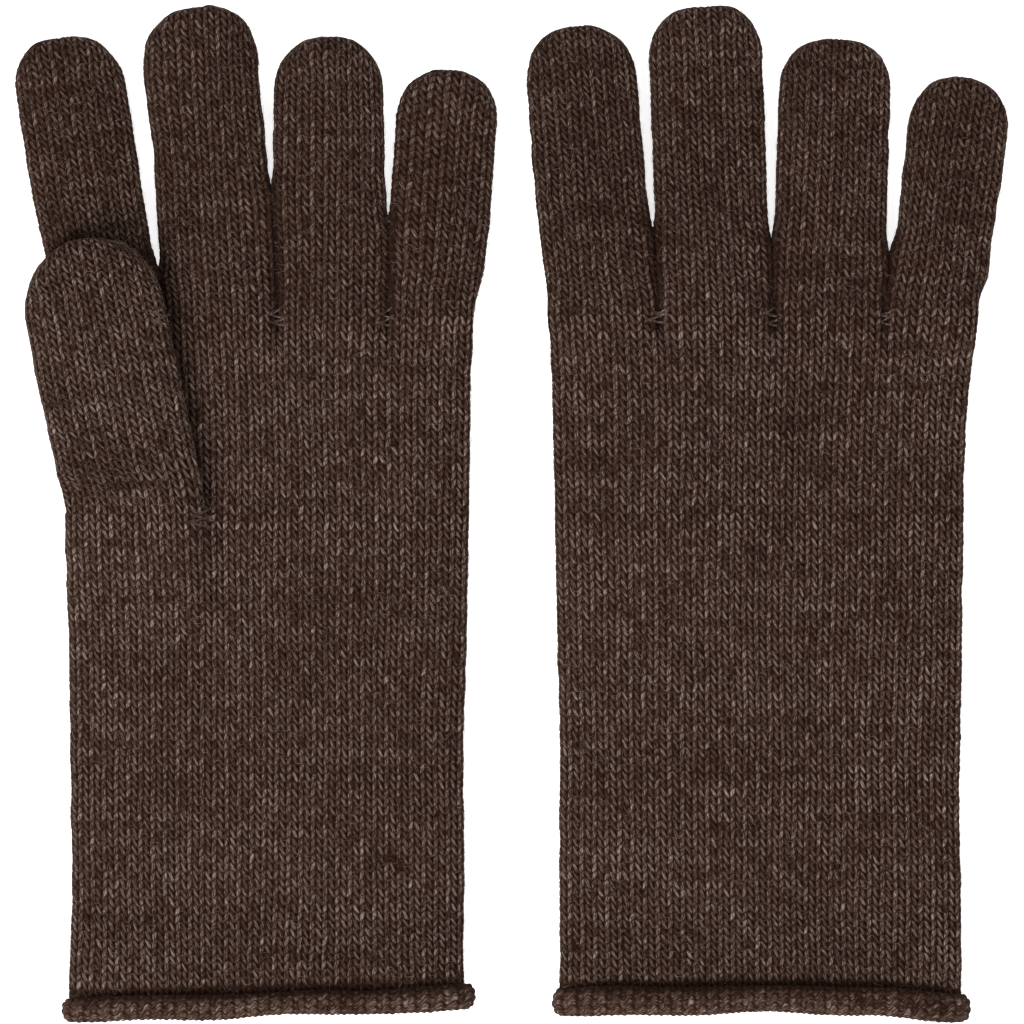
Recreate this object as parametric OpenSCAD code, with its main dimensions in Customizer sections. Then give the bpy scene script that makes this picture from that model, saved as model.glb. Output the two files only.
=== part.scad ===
// A pair of plain knitted gloves with full fingers, lying flat side by side.
// Left glove: palm up, thumb folded over the palm. Right glove: back up, thumb folded under it.
// X runs across the pair, Y towards the fingertips, Z up from the table. Millimetres.

/* [Fabric] */
// Thickness of the knitted fabric
wall = 1.8; // [1.4:0.1:2.1]
// Free space between parts that move against each other
clearance = 0.3; // [0.2:0.05:0.5]

/* [Hand] */
// Flat width of the cuff
cuff_w = 99.6; // [80:0.5:125]
// Flat width of the palm at the thumb
palm_w = 102; // [82:0.5:125]
// Length from the hem to the wrist fold
cuff_len = 61; // [45:1:120]
// Length from the wrist fold to the thumb
palm_low_len = 64.5; // [50:0.5:80]
// Length from the thumb to the finger crotches
palm_up_len = 49.3; // [40:0.5:60]
// Height of the hand lying on the table
hand_loft = 9.4; // [8.6:0.1:12]

/* [Fingers] */
// Flat widths of the left glove's index, middle, ring and little fingers
finger_w_left = [27.4, 28.8, 27.6, 22.8];
// Flat widths of the right glove's fingers
finger_w_right = [27.4, 28.8, 28.2, 24.4];
// Lengths of the four fingers from crotch to tip
finger_len = [73, 78, 70, 60.5];
// Height of a finger lying on the table
finger_loft = 8.6; // [8.2:0.1:11]
// Distance from the crotch to the middle knuckle, where a finger folds
knuckle_out = 24; // [22:0.5:26]
// Sideways offset of each glove's row of fingers from the middle of its palm, left and right glove
row_shift = [-0.7, 1.2];
// Sideways lean of the left glove's fingers, in degrees, plus to the right
lean_left = [-8.4, -3.4, 0.1, 4.8];
// Sideways lean of the right glove's fingers, in degrees, plus to the right
lean_right = [-4.8, -1.8, 1.9, 6.8];

/* [Thumb] */
// Flat width of the thumb
thumb_w = 34.4; // [28:0.2:40]
// Length of the thumb from its crotch to its tip
thumb_len = 70.5; // [58:0.5:72]
// Height of the thumb
thumb_loft = 8.2; // [7.8:0.1:10]
// Distance of the thumb's outer side from the edge of the palm
thumb_inset = 1.5; // [0:0.1:6]
// Sideways lean of the left thumb, in degrees, plus to the right
thumb_lean_left = -12; // [-16:0.5:0]
// Sideways lean of the right thumb, in degrees, plus to the right
thumb_lean_right = -1.5; // [-4:0.5:2]
// Length over which the fabric comes down beside the thumb
drape_run = 16; // [12:1:22]
// Length over which the lower palm widens into the thumb
throat_len = 34; // [26:1:44]

/* [Rolled hem] */
// Diameter of the rolled hem
welt_d = 6.6; // [5.6:0.1:8]
// Height of the mouth between the two rolls
mouth_gap = 4.6; // [4.4:0.1:9]
// Length over which the cuff comes down from the roll to the table
hem_run = 24; // [18:1:34]
// Amount by which the roll stands out past the cuff's side
welt_out = 1.6; // [0.5:0.1:2.4]

/* [Yarn] */
// Diameter of the yarn
yarn_d = 1.6; // [1.2:0.1:1.8]
// Length of the yarn end left inside each tip
tail_len = 11; // [8:0.5:14]

/* [Pair] */
// Distance between the middles of the two cuffs
pair_pitch = 123; // [110:0.5:170]

/* [Hidden] */

LEFT = 0;
RIGHT = 1;
INDEX = 0;
MIDDLE = 1;
RING = 2;
LITTLE = 3;

heather = "#4a3a30";
heather_light = "#5d4b40";
yarn_brown = "#3a2b23";

// Segments of a ring's rounded side and of its flat, on the hand and on a finger
end_seg = 5;
hand_flat_seg = 16;
finger_flat_seg = 6;
// A tip is closed by a small flat cap at this angle of its round outline
cap_angle = 78;
tip_steps = 6;
// How fast a tip loses height as it loses width
tip_height_power = 0.4;

// Parts knitted in one with each other meet with this much between them
touching = 0.001;

lip_len = 0.8;
hem_top = welt_d + lip_len;
cuff_hem_steps = 4;
wrist_y = cuff_len;
thumb_y = wrist_y + palm_low_len;
crotch_y = thumb_y + palm_up_len;
knuckle_y = crotch_y + knuckle_out;
finger_gap = 2 * clearance;
finger_w = [finger_w_left, finger_w_right];

thumb_start_y = thumb_y + clearance;
thumb_rise = thumb_loft + 3 * clearance;
thumb_x = -palm_w / 2 + thumb_inset + thumb_w / 2;

hem_bottom_z = welt_d - wall;
hem_top_z = welt_d + mouth_gap + wall;

leans = [lean_left, lean_right];
thumb_leans = [thumb_lean_left, thumb_lean_right];

// The pair is centred on its own outline, which ends at the left glove's index finger or thumb and at the
// right glove's little finger
thumb_reach = abs(thumb_axis_x(LEFT, thumb_y + thumb_len - thumb_w / 2)) + thumb_w / 2;
left_reach = max(side_reach(LEFT, INDEX), thumb_reach);
right_reach = side_reach(RIGHT, LITTLE);
pair_x = (left_reach - right_reach) / 2;
glove_x = [pair_x - pair_pitch / 2, pair_x + pair_pitch / 2];
glove_y = -(crotch_y + max(finger_len)) / 2;

function sum(list, i = 0) = i < len(list) ? list[i] + sum(list, i + 1) : 0;
function mix(a, b, t) = a + (b - a) * t;
function smooth(t) = let (u = max(0, min(1, t))) u * u * (3 - 2 * u);

// Width of a glove's row of fingers, and the middle of each finger's base from the middle of the palm
function knuckle_w(side) = sum(finger_w[side]);
function finger_x(side, i) =
    let (before = sum([for (k = [0:1:i - 1]) finger_w[side][k]]))
    row_shift[side] - knuckle_w(side) / 2 + before + finger_w[side][i] / 2;
function finger_axis_x(side, i, y) = finger_x(side, i) + tan(leans[side][i]) * (y - crotch_y);
function thumb_axis_x(side, y) = thumb_x + tan(thumb_leans[side]) * (y - thumb_y);
function side_reach(side, i) =
    abs(finger_axis_x(side, i, crotch_y + finger_len[i] - finger_w[side][i] / 2))
    + (finger_w[side][i] - finger_gap) / 2;

// Height to which fabric is lifted where it passes over the thumb: full over the thumb and out to the hand's
// edge, then down to nothing towards the little finger and past the thumb's tip
function thumb_distance(side, x, y) =
    let (reach = thumb_len - thumb_w / 2, t = max(0, min(reach, y - thumb_y)))
    norm([max(0, x - thumb_axis_x(side, thumb_y + t)), y - thumb_y - t]);
function lift(side, x, y) =
    thumb_rise * (1 - smooth((thumb_distance(side, x, y) - thumb_w / 2) / drape_run));

// Underside and top of the hand and fingers at a point. The left glove lies under its thumb, the right one
// over it.
function under(side, x, y) = side == LEFT ? 0 : lift(side, x, y);
function throat(x, y) = lift(RIGHT, x, thumb_y) * smooth((y - (thumb_y - throat_len)) / throat_len);
function hem(y) = 1 - smooth((y - hem_top) / hem_run);

// One ring of a flat tube, as [x, share of the height], anticlockwise seen from -Y
function ring(half_w, round_w, flat_seg) =
    let (r = min(round_w, half_w), f = half_w - r)
    concat(
        [for (k = [0:end_seg]) let (a = -90 + 180 * k / end_seg) [f + r * cos(a), 0.5 + 0.5 * sin(a)]],
        [for (k = [1:flat_seg - 1]) [f * (1 - 2 * k / flat_seg), 1]],
        [for (k = [0:end_seg]) let (a = 90 + 180 * k / end_seg) [r * cos(a) - f, 0.5 + 0.5 * sin(a)]],
        [for (k = [1:flat_seg - 1]) [f * (2 * k / flat_seg - 1), 0]]);

// Hand rings: a plain tube whose underside and top follow the hem, the throat of the thumb or the lifted fabric
function hand_w(side, y) =
    y <= wrist_y ? cuff_w :
    y <= thumb_y ? mix(cuff_w, palm_w, (y - wrist_y) / palm_low_len) :
    mix(palm_w, knuckle_w(side) - finger_gap, pow((y - thumb_y) / palm_up_len, 1.8));
function hand_x(side, y) = row_shift[side] * smooth((y - thumb_y) / palm_up_len);
function hand_under(side, x, y) = y <= wrist_y ? hem_bottom_z * hem(y) : y <= thumb_y ? 0 : under(side, x, y);
function hand_top(side, x, y) =
    y <= wrist_y ? mix(hand_loft, hem_top_z, hem(y)) :
    y <= thumb_y ? hand_loft + throat(x, y) :
    hand_loft + under(side, x, y);
function hand_ring(side, y, inset) = [
    for (p = ring(hand_w(side, y) / 2 - inset, hand_loft / 2 - inset, hand_flat_seg))
    let (x = p.x + hand_x(side, y), low = hand_under(side, x, y) + inset, high = hand_top(side, x, y) - inset)
    [x, y, mix(low, high, p.y)]];
function hand_rings(side, ys, inset) = [for (y = ys) hand_ring(side, y, inset)];

// Finger and thumb rings. size is the share of the full outline that is left at that place, as [width, height].
function digit_ring(side, y, axis_x, w, loft, base_z, size, inset, lifted) = [
    for (p = ring((w / 2 - inset) * size.x, (loft / 2 - inset) * min(1, size.x * 2), finger_flat_seg))
    let (
        x = axis_x + p.x,
        full = loft - 2 * inset,
        low = base_z + inset + full * (1 - size.y) / 2 + (lifted ? under(side, x, y) : 0))
    [x, y, low + full * size.y * p.y]];
function tip_size(a) = [cos(a), pow(cos(a), tip_height_power)];
function tip_y(tip, r, a) = tip - r + r * sin(a) / sin(cap_angle);
function tip_angles() = [for (k = [1:tip_steps]) cap_angle * k / tip_steps];

function finger_ring(side, i, y, size, inset) =
    let (x = finger_axis_x(side, i, y), w = finger_w[side][i] - finger_gap)
    digit_ring(side, y, x, w, finger_loft, 0, size, inset, true);
function thumb_base_z(side) = side == LEFT ? hand_loft + clearance : 0;
function thumb_ring(side, y, size, inset) =
    digit_ring(side, y, thumb_axis_x(side, y), thumb_w, thumb_loft, thumb_base_z(side), size, inset, false);

// A hollow tube from outer and inner rings of points, open at its first ring, and at its last if open_end
module tube(outer, inner, open_end) {
    n = len(outer[0]);
    o_last = (len(outer) - 1) * n;
    i_first = len(outer) * n;
    i_last = i_first + (len(inner) - 1) * n;
    caps = i_last + n;
    function middle(r) = (r[0] + r[n / 2]) / 2;
    function skin(first, count, outward) = [
        for (r = [0:count - 2], k = [0:n - 1])
        let (a = first + r * n + k, b = first + r * n + (k + 1) % n, c = b + n, d = a + n)
        each outward ? [[a, b, c], [a, c, d]] : [[a, c, b], [a, d, c]]];
    function rim(o, i, forward) = [
        for (k = [0:n - 1])
        let (a = o + k, b = o + (k + 1) % n, c = i + (k + 1) % n, d = i + k)
        each forward ? [[a, b, c], [a, c, d]] : [[a, c, b], [a, d, c]]];
    function cap(first, centre, forward) = [
        for (k = [0:n - 1])
        let (a = first + k, b = first + (k + 1) % n)
        forward ? [a, b, centre] : [b, a, centre]];
    polyhedron(
        points = concat(
            [for (r = concat(outer, inner)) each r],
            open_end ? [] : [middle(outer[len(outer) - 1]), middle(inner[len(inner) - 1])]),
        faces = concat(
            skin(0, len(outer), true),
            skin(i_first, len(inner), false),
            rim(0, i_first, false),
            open_end ? rim(o_last, i_last, true) :
                concat(cap(o_last, caps, true), cap(i_last, caps + 1, false))),
        convexity = 10);
}

// A solid bar between two rings of points
module bar(first, last) {
    n = len(first);
    polyhedron(
        points = concat(first, last),
        faces = concat(
            [for (k = [0:n - 1]) let (b = (k + 1) % n) each [[k, b, b + n], [k, b + n, k + n]]],
            [[for (k = [n - 1:-1:0]) k]],
            [[for (k = [0:n - 1]) n + k]]),
        convexity = 4);
}

module place(side) translate([glove_x[side], glove_y, 0]) children();

module hand_tube(side, ys) tube(hand_rings(side, ys, 0), hand_rings(side, ys, wall), true);

module cuff(side) {
    hem_end = hem_top + hem_run;
    last = wrist_y - clearance;
    color(heather) place(side)
        hand_tube(side, [for (k = [0:cuff_hem_steps]) mix(hem_top, hem_end, k / cuff_hem_steps), last]);
}

module lower_palm(side) {
    steps = 6;
    start = thumb_y - throat_len;
    color(heather) place(side)
        hand_tube(side, [wrist_y + touching, for (k = [0:steps]) mix(start, thumb_y, k / steps)]);
}

module upper_palm(side) {
    steps = side == LEFT ? 4 : 6;
    ys = [for (k = [0:steps]) mix(thumb_y + touching, crotch_y, k / steps)];
    color(heather) place(side) hand_tube(side, ys);
}

// Hem that has curled outwards: a roll round the mouth, with the lip by which it joins the cuff.
// The roll is thinner where it runs up the cuff's sides.
module rolled_hem(side) {
    arc_steps = 9;
    r = welt_d / 2;
    mouth_z = hem_bottom_z + wall + mouth_gap / 2;
    path = ring(cuff_w / 2 - wall, mouth_gap / 2, hand_flat_seg);
    lip = [[0, r], [0, hem_top], [wall, hem_top]];
    arc_start = 180 - acos((r - wall) / r);
    arc_end = -135;
    roll = [
        for (k = [0:arc_steps])
        let (a = mix(arc_start, arc_end, k / arc_steps))
        [r + r * cos(a), r + r * sin(a)]];
    side_share = (wall + welt_out) / welt_d;
    rings = [
        for (p = path)
        let (
            side_on = 2 * sqrt(max(0, p.y * (1 - p.y))),
            out = [sign(p.x) * side_on, 2 * p.y - 1],
            share = mix(1, side_share, side_on * side_on))
        [for (s = concat(lip, [for (q = roll) [q.x * share, q.y]]))
            [p.x + s.x * out.x, s.y, mouth_z + (p.y - 0.5) * mouth_gap + s.x * out.y]]];
    n = len(rings[0]);
    m = len(rings);
    color(heather_light) place(side)
        polyhedron(
            points = [for (r = rings) each r],
            faces = [
                for (j = [0:m - 1], k = [0:n - 1])
                let (here = j * n, next = (j + 1) % m * n, k2 = (k + 1) % n)
                let (a = here + k, b = here + k2, c = next + k2, d = next + k)
                each [[a, b, c], [a, c, d]]],
            convexity = 10);
}

// Three short webs that close the hand between neighbouring fingers
module finger_webs(side) {
    half_w = wall + finger_gap / 2;
    depth = 4;
    corners = [[-1, 0], [1, 0], [1, 1], [-1, 1]];
    function web_ring(x, y) = [
        for (p = corners)
        let (px = x + p.x * half_w)
        [px, y, mix(hand_under(side, px, y) + wall, hand_top(side, px, y) - wall, p.y)]];
    color(heather_light) place(side)
        for (i = [INDEX:RING]) {
            x = finger_x(side, i) + finger_w[side][i] / 2;
            bar(web_ring(x, crotch_y - depth), web_ring(x, crotch_y));
        }
}

// The web between the thumb's opening and the palm's
module thumb_web(side) {
    depth = 3.6;
    half_w = (thumb_w - thumb_loft) / 2 - wall;
    low = side == LEFT ? hand_loft - wall : thumb_loft - wall;
    high = side == LEFT ? thumb_base_z(LEFT) + wall : thumb_rise + wall;
    color(heather_light) place(side)
        translate([thumb_x - half_w, thumb_y - depth, low])
            cube([2 * half_w, depth, high - low]);
}

module finger_base(side, i) {
    steps = side == RIGHT && i <= MIDDLE ? 4 : 1;
    ys = [for (k = [0:steps]) mix(crotch_y, knuckle_y - clearance / 2, k / steps)];
    color(heather) place(side)
        tube(
            [for (y = ys) finger_ring(side, i, y, [1, 1], 0)],
            [for (y = ys) finger_ring(side, i, y, [1, 1], wall)],
            true);
}

// Stations of the straight part of a finger's end, closer together where the fabric comes down off the thumb
function end_ys(side, i, last) =
    let (start = knuckle_y + clearance / 2, steps = side == RIGHT && i <= MIDDLE ? 5 : 1)
    [for (k = [0:steps]) mix(start, last, k / steps)];

module finger_end(side, i) {
    tip = crotch_y + finger_len[i];
    r = (finger_w[side][i] - finger_gap) / 2;
    ys = end_ys(side, i, tip - r);
    function rings(inset) = concat(
        [for (y = ys) finger_ring(side, i, y, [1, 1], inset)],
        [for (a = tip_angles()) finger_ring(side, i, tip_y(tip - inset, r - inset, a), tip_size(a), inset)]);
    color(heather) place(side) tube(rings(0), rings(wall), false);
}

module thumb(side) {
    tip = thumb_y + thumb_len;
    r = thumb_w / 2;
    ys = [thumb_start_y, tip - r];
    function rings(inset) = concat(
        [for (y = ys) thumb_ring(side, y, [1, 1], inset)],
        [for (a = tip_angles()) thumb_ring(side, tip_y(tip - inset, r - inset, a), tip_size(a), inset)]);
    color(heather) place(side) tube(rings(0), rings(wall), false);
}

// The yarn end that is left inside a closed tip, held by the closing stitches
module tail(side, x, z, tip) {
    color(yarn_brown) place(side)
        translate([x, tip - wall / 2, z]) rotate([90, 0, 0]) cylinder(h = tail_len, d = yarn_d, $fn = 24);
}

module finger_tail(side, i) {
    tip = crotch_y + finger_len[i];
    x = finger_axis_x(side, i, tip - tail_len / 2);
    tail(side, x, under(side, x, tip) + finger_loft / 2, tip);
}

module thumb_tail(side) {
    tip = thumb_y + thumb_len;
    x = thumb_axis_x(side, tip - tail_len / 2);
    tail(side, x, thumb_base_z(side) + thumb_loft / 2, tip);
}

cuff(LEFT);  // left_cuff
rolled_hem(LEFT);  // left_rolled_hem
lower_palm(LEFT);  // left_lower_palm
upper_palm(LEFT);  // left_upper_palm
finger_webs(LEFT);  // left_finger_webs
thumb_web(LEFT);  // left_thumb_web
thumb(LEFT);  // left_thumb
thumb_tail(LEFT);  // left_thumb_tail
finger_base(LEFT, INDEX);  // left_index_base
finger_end(LEFT, INDEX);  // left_index_end
finger_tail(LEFT, INDEX);  // left_index_tail
finger_base(LEFT, MIDDLE);  // left_middle_base
finger_end(LEFT, MIDDLE);  // left_middle_end
finger_tail(LEFT, MIDDLE);  // left_middle_tail
finger_base(LEFT, RING);  // left_ring_base
finger_end(LEFT, RING);  // left_ring_end
finger_tail(LEFT, RING);  // left_ring_tail
finger_base(LEFT, LITTLE);  // left_little_base
finger_end(LEFT, LITTLE);  // left_little_end
finger_tail(LEFT, LITTLE);  // left_little_tail
cuff(RIGHT);  // right_cuff
rolled_hem(RIGHT);  // right_rolled_hem
lower_palm(RIGHT);  // right_lower_palm
upper_palm(RIGHT);  // right_upper_palm
finger_webs(RIGHT);  // right_finger_webs
thumb_web(RIGHT);  // right_thumb_web
thumb(RIGHT);  // right_thumb
thumb_tail(RIGHT);  // right_thumb_tail
finger_base(RIGHT, INDEX);  // right_index_base
finger_end(RIGHT, INDEX);  // right_index_end
finger_tail(RIGHT, INDEX);  // right_index_tail
finger_base(RIGHT, MIDDLE);  // right_middle_base
finger_end(RIGHT, MIDDLE);  // right_middle_end
finger_tail(RIGHT, MIDDLE);  // right_middle_tail
finger_base(RIGHT, RING);  // right_ring_base
finger_end(RIGHT, RING);  // right_ring_end
finger_tail(RIGHT, RING);  // right_ring_tail
finger_base(RIGHT, LITTLE);  // right_little_base
finger_end(RIGHT, LITTLE);  // right_little_end
finger_tail(RIGHT, LITTLE);  // right_little_tail
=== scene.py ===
"""A pair of plain knitted gloves with full fingers, lying flat: the visible surfaces, built round the CAD.

Inside this script lengths are millimetres in the row frame: X across the pair, Y towards the fingertips and
Z up from the table. They become metres where a mesh is made. The fabric is plain knitting. A wale is a
column of stitches and a course is a row of them, and each stitch shows two legs, half a wale wide each.
"""

import math

import bpy
import numpy as np
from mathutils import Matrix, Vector
from mathutils.bvhtree import BVHTree


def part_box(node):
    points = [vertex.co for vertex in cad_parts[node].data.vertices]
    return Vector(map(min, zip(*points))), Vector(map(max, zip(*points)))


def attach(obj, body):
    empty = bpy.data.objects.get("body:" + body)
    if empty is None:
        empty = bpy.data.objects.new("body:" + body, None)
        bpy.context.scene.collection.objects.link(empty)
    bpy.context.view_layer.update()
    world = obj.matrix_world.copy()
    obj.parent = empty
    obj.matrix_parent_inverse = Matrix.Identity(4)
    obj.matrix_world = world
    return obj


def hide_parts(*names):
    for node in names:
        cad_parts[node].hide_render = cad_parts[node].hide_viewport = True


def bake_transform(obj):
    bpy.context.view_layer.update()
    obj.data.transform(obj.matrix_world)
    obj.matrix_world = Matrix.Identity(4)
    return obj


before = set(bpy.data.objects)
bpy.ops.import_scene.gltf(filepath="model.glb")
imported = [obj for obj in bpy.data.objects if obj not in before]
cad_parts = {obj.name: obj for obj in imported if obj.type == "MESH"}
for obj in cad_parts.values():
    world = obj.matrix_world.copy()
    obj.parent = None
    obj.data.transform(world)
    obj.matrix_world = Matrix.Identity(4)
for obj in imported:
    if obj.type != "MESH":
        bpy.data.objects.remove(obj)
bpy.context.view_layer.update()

MM = 0.001
FINGERS = ("index", "middle", "ring", "little")

# Stitch size, and how fine its mesh is: columns across a wale and rows up a course
WALE = 3.2
COURSE = 2.03
HAND_MESH = (8, 5)
DIGIT_MESH = (10, 6)
INNER_COURSES = 3
# A course climbs by this share of its height from the middle of a wale to its edge
CHEVRON = 0.45
# A leg leans outwards by this share of a wale from its foot to its head, and is this share of a wale thick
LEG_LEAN = 0.24
LEG_HALF = 0.19
# The yarn's twist leans both legs of a stitch over to the left. They sway by this share of a wale
LEG_SWAY = 0.028
RELIEF = 0.75
FABRIC = 1.8
# Stitches stand out of the fabric's middle, so the tubes under them are slimmer by this much all round
STAND_OUT = 0.5

HAND_WALES = 66
DIGIT_WALE = 3.1
HAND_POWER = 3.2
FINGER_POWER = 2.5


# ---------------------------------------------------------------- small helpers


def smooth(t):
    t = np.clip(t, 0, 1)
    return t * t * (3 - 2 * t)


def mix(a, b, t):
    return a + (b - a) * t


def ripples(seed, wavelength, waves=7):
    """A smooth field over the table, within about -1 to 1, as a function of x and y."""
    rng = np.random.default_rng(seed)
    heading = rng.uniform(0, 2 * np.pi, waves)
    phase = rng.uniform(0, 2 * np.pi, waves)
    pace = 2 * np.pi / (wavelength * rng.uniform(0.7, 1.5, waves))

    def value(x, y):
        total = 0
        for h, p, k in zip(heading, phase, pace):
            total = total + np.sin(k * (x * math.cos(h) + y * math.sin(h)) + p)
        return total / math.sqrt(2 * waves)

    return value


def node_points(name):
    """A CAD node's vertices, in millimetres."""
    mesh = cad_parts[name].data
    flat = np.empty(len(mesh.vertices) * 3, np.float32)
    mesh.vertices.foreach_get("co", flat)
    return flat.reshape(-1, 3).astype(float) / MM


def end_ring(name, top):
    """The points at a tube node's end towards the fingertips, or at its other end."""
    points = node_points(name)
    y = points[:, 1].max() if top else points[:, 1].min()
    return points[abs(points[:, 1] - y) < 0.05]


def span(points, axis):
    """Middle and half width of some points along an axis."""
    low, high = points[:, axis].min(), points[:, axis].max()
    return (low + high) / 2, (high - low) / 2


# ---------------------------------------------------------------- the fabric


def section_table(half_w, half_h, power):
    """The upper half of a flattened tube's unit outline, from its right side to its left, by share of arc."""
    a = np.linspace(0, np.pi, 2001)
    x = np.sign(np.cos(a)) * abs(np.cos(a)) ** (2 / power)
    z = np.sin(a).clip(0) ** (2 / power)
    step = np.hypot(np.diff(x) * half_w, np.diff(z) * half_h)
    arc = np.concatenate([[0], np.cumsum(step)])
    return arc / arc[-1], x, z


def on_section(u, wales, table):
    """Unit x and z at u wales round a tube: over the top from the right side, then back underneath."""
    turn = np.mod(u / wales, 1) * 2
    below = turn > 1
    share = np.where(below, 2 - turn, turn)
    x = np.interp(share, table[0], table[1])
    z = np.interp(share, table[0], table[2])
    return x, np.where(below, -z, z)


def leg_relief(u, s):
    """Height of a stitch, 0 to 1, at u wales from a wale's middle and a share s of the way up a course."""
    across = abs(u - np.round(u))
    centre = 0.25 + LEG_LEAN * (s - 0.5)
    q = (across - centre) / LEG_HALF
    body = np.sqrt(np.clip(1 - abs(q) ** 2.2, 0, 1))
    from_middle = abs(2 * s - 1)
    floor = 0.35 * np.sqrt(np.clip(1 - (abs(across - 0.25) / 0.25) ** 2, 0, 1))
    return mix(floor, body, 1 - from_middle**4)


def yarn_shades(rng, courses, legs):
    """Shade of every leg, 0 to 1. The yarn runs along the courses, so neighbours in a course are alike."""
    reach = 12
    kernel = np.exp(-0.5 * (np.arange(-reach, reach + 1) / 5) ** 2)
    kernel = kernel / np.sqrt((kernel**2).sum())
    drift = np.convolve(rng.normal(size=courses * legs + 2 * reach), kernel, "valid")
    own = rng.normal(size=courses * legs)
    return (0.5 + 0.03 * drift + 0.075 * own).clip(0, 1).reshape(courses, legs)


def surface_normals(p, closed_rows):
    """Outward unit normals of a grid of points whose columns run round a tube."""
    round_tube = np.roll(p, -1, 1) - np.roll(p, 1, 1)
    along = np.roll(p, -1, 0) - np.roll(p, 1, 0) if closed_rows else np.gradient(p, axis=0)
    n = np.cross(along, round_tube)
    return n / np.maximum(np.linalg.norm(n, axis=2, keepdims=True), 1e-9)


def bake_map(rows, columns, low, high):
    """Corner places of a grid in its own part of the bake map."""
    x = np.arange(columns) / columns
    y = low + (high - low) * np.arange(rows) / rows
    x0, y0 = np.meshgrid(x, y)
    x1, y1 = x0 + 1 / columns, y0 + (high - low) / rows
    return np.stack([np.stack([x0, x0, x1, x1], -1), np.stack([y0, y1, y1, y0], -1)], -1)


class Shell:
    """The points, faces and corner maps of one piece, gathered grid by grid."""

    def __init__(self):
        self.points = []
        self.quads = []
        self.maps = {"Strand": [], "Leg": [], "Shade": [], "OFBake": []}
        self.count = 0

    def add_points(self, p):
        """Adds a grid of points and returns their numbers."""
        numbers = self.count + np.arange(p.shape[0] * p.shape[1]).reshape(p.shape[:2])
        self.points.append(p.reshape(-1, 3))
        self.count += numbers.size
        return numbers

    def add_quads(self, quads, strand, leg, shade, bake):
        """Quads, with for each corner its place across and along the yarn, its place on the leg from -1 to 1
        across and 0 to 1 up, its shade and its openness to the light, which paints shade into the colour, and
        its place on the bake map."""
        self.quads.append(quads.reshape(-1, 4))
        for name, value in (("Strand", strand), ("Leg", leg), ("Shade", shade), ("OFBake", bake)):
            self.maps[name].append(np.broadcast_to(value, quads.shape + (2,)).reshape(-1, 4, 2))

    def band(self, first, second, bake_row, bake_height):
        """Closes the gap between two rings of points with one row of quads."""
        after = (np.arange(len(first)) + 1) % len(first)
        quads = np.stack([first, second, second[after], first[after]], -1)
        bake = bake_map(1, len(first), bake_row, bake_row + bake_height)[0]
        self.add_quads(quads, [0.0, 0.0], EDGE_LEG, EDGE_SHADE, bake)

    def make(self, name, material, slot):
        """The Blender object, in metres."""
        points = np.concatenate(self.points) * MM
        quads = np.concatenate(self.quads).astype(np.int32)
        mesh = bpy.data.meshes.new(name)
        mesh.vertices.add(len(points))
        mesh.vertices.foreach_set("co", points.astype(np.float32).ravel())
        mesh.loops.add(quads.size)
        mesh.loops.foreach_set("vertex_index", quads.ravel())
        mesh.polygons.add(len(quads))
        mesh.polygons.foreach_set("loop_start", np.arange(0, quads.size, 4, dtype=np.int32))
        mesh.update(calc_edges=True)
        mesh.polygons.foreach_set("use_smooth", np.ones(len(quads), bool))
        for map_name, parts in self.maps.items():
            values = np.concatenate(parts).astype(np.float32)
            mesh.uv_layers.new(name=map_name).uv.foreach_set("vector", values.ravel())
        mesh.materials.append(material)
        piece = bpy.data.objects.new(name, mesh)
        bpy.context.scene.collection.objects.link(piece)
        return piece


def grid_quads(numbers, closed_rows=False):
    """Outward quads of a grid whose columns close round a tube, with four corners last."""
    below = numbers if closed_rows else numbers[:-1]
    above = np.roll(numbers, -1, 0) if closed_rows else numbers[1:]
    return np.stack([below, above, np.roll(above, -1, 1), np.roll(below, -1, 1)], -1)


def pairs(a, b):
    """Two arrays of corner values as one array of pairs."""
    return np.stack(np.broadcast_arrays(a, b), -1)


def corner_values(values, closed_rows=False):
    """A value of each point, as the four corners of each quad."""
    return grid_quads(values, closed_rows)


# Corner values of the plain edges and inner faces, which hardly show; their low openness paints them darker,
# as painted shade
EDGE_LEG = (0.45, 0.5)
EDGE_SHADE = (0.4, 0.6)
OUTER_SHARE = (0.11, 0.88)
INNER_SHARE = (0.90, 0.955)


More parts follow.
